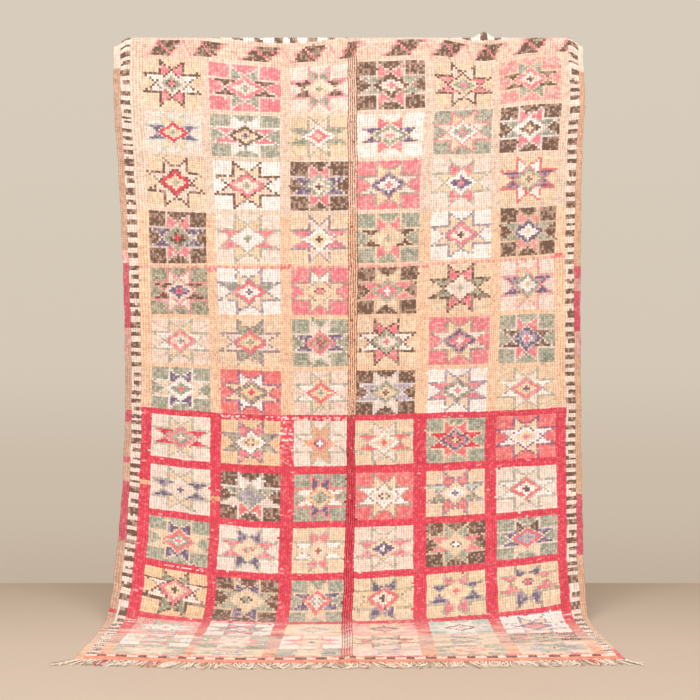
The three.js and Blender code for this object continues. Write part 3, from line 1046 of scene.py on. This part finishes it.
# One closed length of the rug: knots in front, the woven back behind, and its rims
def makeSlab(slab, surface, shades, tint, tintShare):
    top, bottom = bandRows(slab["from"], slab["to"])
    rows = bottom - top
    wide = 2 * columnCount + 1
    halfRows = slice(2 * top, 2 * bottom + 1)
    front = clothPoints(shareGrid[halfRows], alongGrid[halfRows], surface[halfRows])
    backHeight = chance.uniform(0, pile["backNap"], (rows + 1, columnCount + 1))
    backHeight[:, 0] = backHeight[:, -1] = hang["selvedge"] * pile["backRim"]
    back = clothPoints(shareGrid[halfRows][::2, ::2], alongGrid[halfRows][::2, ::2], backHeight)
    vertices = np.concatenate([front.reshape(-1, 3), back.reshape(-1, 3)])
    backFirst = front.shape[0] * wide
    i, j = np.mgrid[0:rows, 0:columnCount]

    def atFront(a, b):
        return (2 * i + a) * wide + 2 * j + b

    def atBack(a, b):
        return backFirst + (i + a) * (columnCount + 1) + j + b

    colour = knotColour[top:bottom]
    shown = tint[halfRows].reshape(-1, 3)
    shownShare = tintShare[halfRows].reshape(-1)
    shadeList = shades[halfRows].reshape(-1, 3)
    faces = []
    colours = []
    for k, (a, b) in enumerate(ring):
        c, d = ring[(k + 1) % len(ring)]
        corners = np.stack([atFront(1, 1), atFront(a, b), atFront(c, d)], axis=-1)
        # each corner takes its knot's colour darkened by the painted shade of its point
        plain = colour[:, :, None, :] * shadeList[corners]
        share = shownShare[corners][..., None]
        faces.append(corners.reshape(-1, 3))
        colours.append((plain * (1 - share) + shown[corners] * share).reshape(-1, 3, 3))
    dull = pile["backTone"] * (colour * pile["backYarn"] + foundation * pile["backFoundation"])
    for corners in ([(0, 0), (0, 1), (1, 1)], [(0, 0), (1, 1), (1, 0)]):
        faces.append(np.stack([atBack(a, b) for a, b in corners], axis=-1).reshape(-1, 3))
        colours.append(np.repeat(dull.reshape(-1, 1, 3), 3, axis=1))
    for column, turned in ((0, False), (columnCount - 1, True)):
        side = 2 * int(turned)
        f0, f1, f2 = [atFront(step, side)[:, column] for step in (0, 1, 2)]
        b0, b1 = [atBack(step, int(turned))[:, column] for step in (0, 1)]
        addRim(faces, colours, [(b0, b1, f2), (b0, f2, f1), (b0, f1, f0)], turned, colour[:, column])
    for row, turned in ((0, False), (rows - 1, True)):
        side = 2 * int(turned)
        f0, f1, f2 = [atFront(side, step)[row] for step in (0, 1, 2)]
        b0, b1 = [atBack(int(turned), step)[row] for step in (0, 1)]
        addRim(faces, colours, [(b0, f0, f1), (b0, f1, f2), (b0, f2, b1)], turned, colour[row])
    faces = np.concatenate(faces)
    colours = np.concatenate(colours)
    backFaces = np.zeros(len(faces), int)
    backFaces[8 * rows * columnCount:10 * rows * columnCount] = 1
    piece = meshPiece(slab["name"], vertices, faces, colours)
    piece.data.polygons.foreach_set("material_index", backFaces)
    lastRow = front.shape[0] - 1
    seam = np.zeros(len(vertices), bool)
    for row in (0, lastRow):
        seam[row * wide:(row + 1) * wide] = True
    for row in (0, rows):
        seam[backFirst + row * (columnCount + 1):backFirst + (row + 1) * (columnCount + 1)] = True
    sharpenSeams(piece.data, seam)
    return piece


def addRim(faces, colours, triples, turned, colour):
    for triple in triples:
        corners = np.stack(triple, axis=-1)
        faces.append(corners[:, ::-1] if turned else corners)
        colours.append(np.repeat((colour * pile["rimTone"])[:, None, :], 3, axis=1))


def sharpenSeams(mesh, seam):
    ends = np.zeros(2 * len(mesh.edges), int)
    mesh.edges.foreach_get("vertices", ends)
    sharp = seam[ends].reshape(-1, 2).all(axis=1)
    mesh.attributes.new("sharp_edge", "BOOLEAN", "EDGE").data.foreach_set("value", sharp)


def meshPiece(name, vertices, faces, colours):
    mesh = bpy.data.meshes.new(name)
    mesh.vertices.add(len(vertices))
    mesh.vertices.foreach_set("co", vertices.astype(np.float32).ravel())
    mesh.loops.add(3 * len(faces))
    mesh.loops.foreach_set("vertex_index", faces.astype(np.int32).ravel())
    mesh.polygons.add(len(faces))
    mesh.polygons.foreach_set("loop_start", np.arange(0, 3 * len(faces), 3, dtype=np.int32))
    mesh.update(calc_edges=True)
    mesh.validate()
    mesh.shade_smooth()
    layer = mesh.color_attributes.new("yarn", "FLOAT_COLOR", "CORNER")
    rgba = np.ones((3 * len(faces), 4), np.float32)
    rgba[:, :3] = colours.reshape(-1, 3)
    layer.data.foreach_set("color", rgba.ravel())
    piece = bpy.data.objects.new(name, mesh)
    scene.collection.objects.link(piece)
    return piece


wool = {
    "roughness": 0.95,
    "specular": 0.15,
    "sheenRoughness": 0.5,
    "sheenTint": (1.0, 0.93, 0.86, 1),
    "dust": (0.86, 1.12),  # the yarn's tone is multiplied by values between these
    "fuzz": 0.5,
}


# Wool: the yarn's own colour with a little dust and fibre, very rough, with a soft sheen
def woolMaterial(name, sheen, fibre, depth, speckle):
    material = bpy.data.materials.new(name)
    material.use_nodes = True
    tree = material.node_tree
    shader = tree.nodes["Principled BSDF"]
    shader.inputs["Roughness"].default_value = wool["roughness"]
    shader.inputs["Specular IOR Level"].default_value = wool["specular"]
    shader.inputs["Sheen Weight"].default_value = sheen
    shader.inputs["Sheen Roughness"].default_value = wool["sheenRoughness"]
    shader.inputs["Sheen Tint"].default_value = wool["sheenTint"]
    yarn = tree.nodes.new("ShaderNodeAttribute")
    yarn.attribute_name = "yarn"
    place = tree.nodes.new("ShaderNodeTexCoord")
    dust = tree.nodes.new("ShaderNodeTexNoise")
    dust.inputs["Scale"].default_value = speckle
    dust.inputs["Detail"].default_value = 3
    tone = tree.nodes.new("ShaderNodeMapRange")
    tone.inputs["To Min"].default_value = wool["dust"][0]
    tone.inputs["To Max"].default_value = wool["dust"][1]
    shade = tree.nodes.new("ShaderNodeMix")
    shade.data_type = "RGBA"
    shade.blend_type = "MULTIPLY"
    shade.inputs["Factor"].default_value = 1
    join(tree, place, "Object", dust, "Vector")
    join(tree, dust, "Fac", tone, "Value")
    join(tree, yarn, "Color", shade, "A")
    join(tree, tone, "Result", shade, "B")
    join(tree, shade, "Result", shader, "Base Color")
    fuzz = tree.nodes.new("ShaderNodeTexNoise")
    fuzz.inputs["Scale"].default_value = fibre
    fuzz.inputs["Detail"].default_value = 2
    raised = tree.nodes.new("ShaderNodeBump")
    raised.inputs["Strength"].default_value = wool["fuzz"]
    raised.inputs["Distance"].default_value = depth
    join(tree, place, "Object", fuzz, "Vector")
    join(tree, fuzz, "Fac", raised, "Height")
    join(tree, raised, "Normal", shader, "Normal")
    return material


knottedWool = woolMaterial("knotted wool", sheen=0.25, fibre=700, depth=0.0012, speckle=60)
wovenBack = woolMaterial("woven back", sheen=0.1, fibre=420, depth=0.0008, speckle=40)
warpYarn = woolMaterial("warp yarn", sheen=0.2, fibre=1500, depth=0.0005, speckle=90)


def makeRug():
    surface = surfaceHeights(cellHeights())
    shades = pointShades()
    tint, tintShare = grooveTints()
    for slab in slabs:
        piece = makeSlab(slab, surface, shades, tint, tintShare)
        piece.data.materials.append(knottedWool)
        piece.data.materials.append(wovenBack)
        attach(piece, "root")
        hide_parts("rug")
        print(piece.name, "triangles", len(piece.data.polygons))


makeRug()

print("fringe")

fringe = {
    "bundles": 240,
    "plies": 3,
    "steps": 11,
    "sides": 5,
    "length": 0.076,
    "uneven": 0.015,
    "ply": 0.0014,  # radius of one ply
    "twist": 4.5,  # turns of the plies round each other
    "spread": 0.0013,  # how far the plies lie from the bundle's middle
    "splay": 0.20,
    "corner": 0.030,
    "cornerReach": 0.06,
    "sway": 0.016,
    "lock": 5,  # bundles that lie the same way
    "lift": 0.003,
    "root": 0.006,  # how far the bundles start inside the cloth's edge
    "pitch": 0.35,  # how far a bundle strays along the edge, as a share of their spacing
    "leanPower": 1.4,
    "clear": 0.0008,  # height above the floor
    "fray": 1.6,  # how much wider the plies lie at a bundle's end
    "plyStray": 0.003,
    "flat": 0.8,
    "taper": 0.45,
    "tones": 0.06,  # how much the bundles differ in tone
    "darker": 0.12,  # how much darker their ends are
}
fringeYarns = [
    {"name": "warp", "colour": (244, 226, 204), "share": 0.54},
    {"name": "pale", "colour": (252, 240, 226), "share": 0.30},
    {"name": "grey", "colour": (190, 168, 146), "share": 0.10},
    {"name": "rosy", "colour": (238, 180, 160), "share": 0.06},
]
fringeBits = [
    {"from": 0.058, "to": 0.068, "colour": (206, 80, 108)},
    {"from": 0.155, "to": 0.163, "colour": (232, 120, 100)},
    {"from": 0.928, "to": 0.938, "colour": (232, 120, 98)},
]


def makeFringe():
    floor = -hang["supportHeight"]
    _, edgeY, _ = backLine(np.array([hang["clothLength"]]))
    left, right = sideEdges(hang["clothLength"])
    count = fringe["bundles"]
    share = (np.arange(count) + 0.5 + chance.uniform(-fringe["pitch"], fringe["pitch"], count)) / count
    side = 2 * share - 1
    length = fringe["length"] + fringe["uneven"] * chance.uniform(-1, 1, count)
    corner = smooth(np.abs(side), 1 - 2 * fringe["cornerReach"], 1) * np.sign(side) * fringe["corner"]
    locks = np.repeat(chance.normal(0, fringe["sway"], count // fringe["lock"] + 1), fringe["lock"])[:count]
    lean = side * fringe["splay"] * length + corner + locks + chance.normal(0, fringe["sway"] / 2, count)
    bend = chance.normal(0, fringe["sway"], count)
    lift = fringe["lift"] * chance.random(count) ** 2
    run = np.linspace(0, 1, fringe["steps"])[None, :]
    rootX = (left + (right - left) * share)[:, None]
    aside = rootX + lean[:, None] * run ** fringe["leanPower"]
    x = aside + bend[:, None] * np.sin(run * np.pi) * run
    rootY = edgeY + bowBack(share, hang["clothLength"])[:, None] + fringe["root"]
    y = rootY - run * (length[:, None] + fringe["root"])
    z = floor + fringe["clear"] + lift[:, None] * np.sin(run * np.pi)
    vertices = []
    faces = []
    colours = []
    tones = linear([yarn["colour"] for yarn in fringeYarns])
    pick = chance.choice(len(tones), count, p=[yarn["share"] for yarn in fringeYarns])
    tone = tones[pick]
    for bit in fringeBits:
        tone[(share > bit["from"]) & (share < bit["to"])] = linear(bit["colour"])
    for ply in range(fringe["plies"]):
        start = 2 * np.pi * ply / fringe["plies"] + chance.uniform(0, 6, count)[:, None]
        turn = start + 2 * np.pi * fringe["twist"] * run
        spread = fringe["spread"] * (1 + fringe["fray"] * run ** 4)
        stray = chance.normal(0, fringe["plyStray"], (count, 2, 1)) * run ** 3
        px = x + spread * np.cos(turn) + stray[:, 0]
        pz = z + spread * fringe["flat"] * (1 + np.sin(turn))
        py = y + stray[:, 1]
        radius = fringe["ply"] * (1 - fringe["taper"] * run ** 3) * np.ones((count, 1))
        points = np.stack([px, py, np.maximum(pz, floor + radius)], axis=-1)
        tube, net, shades = tubes(points, radius, fringe["sides"])
        faces.append(net + sum(len(block) for block in vertices))
        vertices.append(tube)
        dirt = chance.normal(1, fringe["tones"], (count, 1)) * (1 - fringe["darker"] * run)
        colours.append((tone[:, None, :] * dirt[..., None], shades))
    vertices = np.concatenate(vertices)
    faces = np.concatenate(faces)
    loops = np.concatenate([value[shade[:, 0], shade[:, 1]] for value, shade in colours])
    piece = meshPiece("fringe_front_strands", vertices, faces, loops.reshape(-1, 3, 3))
    piece.data.materials.append(warpYarn)
    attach(piece, "root")
    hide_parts("fringe_front")
    print(piece.name, "triangles", len(piece.data.polygons))


# Closed tubes along many lines at once. Gives vertices, triangles, and each corner's line and step
def tubes(points, radius, sides):
    count, steps, _ = points.shape
    ahead = np.gradient(points, axis=1)
    ahead /= np.linalg.norm(ahead, axis=-1, keepdims=True)
    across = np.cross(ahead, (0, 0, 1))
    across /= np.linalg.norm(across, axis=-1, keepdims=True)
    above = np.cross(across, ahead)
    angle = 2 * np.pi * np.arange(sides) / sides
    spoke = np.cos(angle)[:, None] * across[:, :, None] + np.sin(angle)[:, None] * above[:, :, None]
    rings = points[:, :, None] + radius[:, :, None, None] * spoke
    line, step, side = np.mgrid[0:count, 0:steps - 1, 0:sides]
    following = (side + 1) % sides
    first = (line * steps + step) * sides
    a, b = first + side, first + following
    c, d = a + sides, b + sides
    body = np.stack([np.stack([a, b, d], -1), np.stack([a, d, c], -1)], -2).reshape(-1, 3)
    ends = []
    for end, order in ((0, 1), (steps - 1, -1)):
        firsts = (np.arange(count) * steps + end) * sides
        for k in range(1, sides - 1):
            ends.append(np.stack([firsts, firsts + k + 1, firsts + k], -1)[:, ::order])
    faces = np.concatenate([body, *ends])
    corner = faces.reshape(-1) // sides
    return rings.reshape(-1, 3), faces, np.stack([corner // steps, corner % steps], -1)


makeFringe()
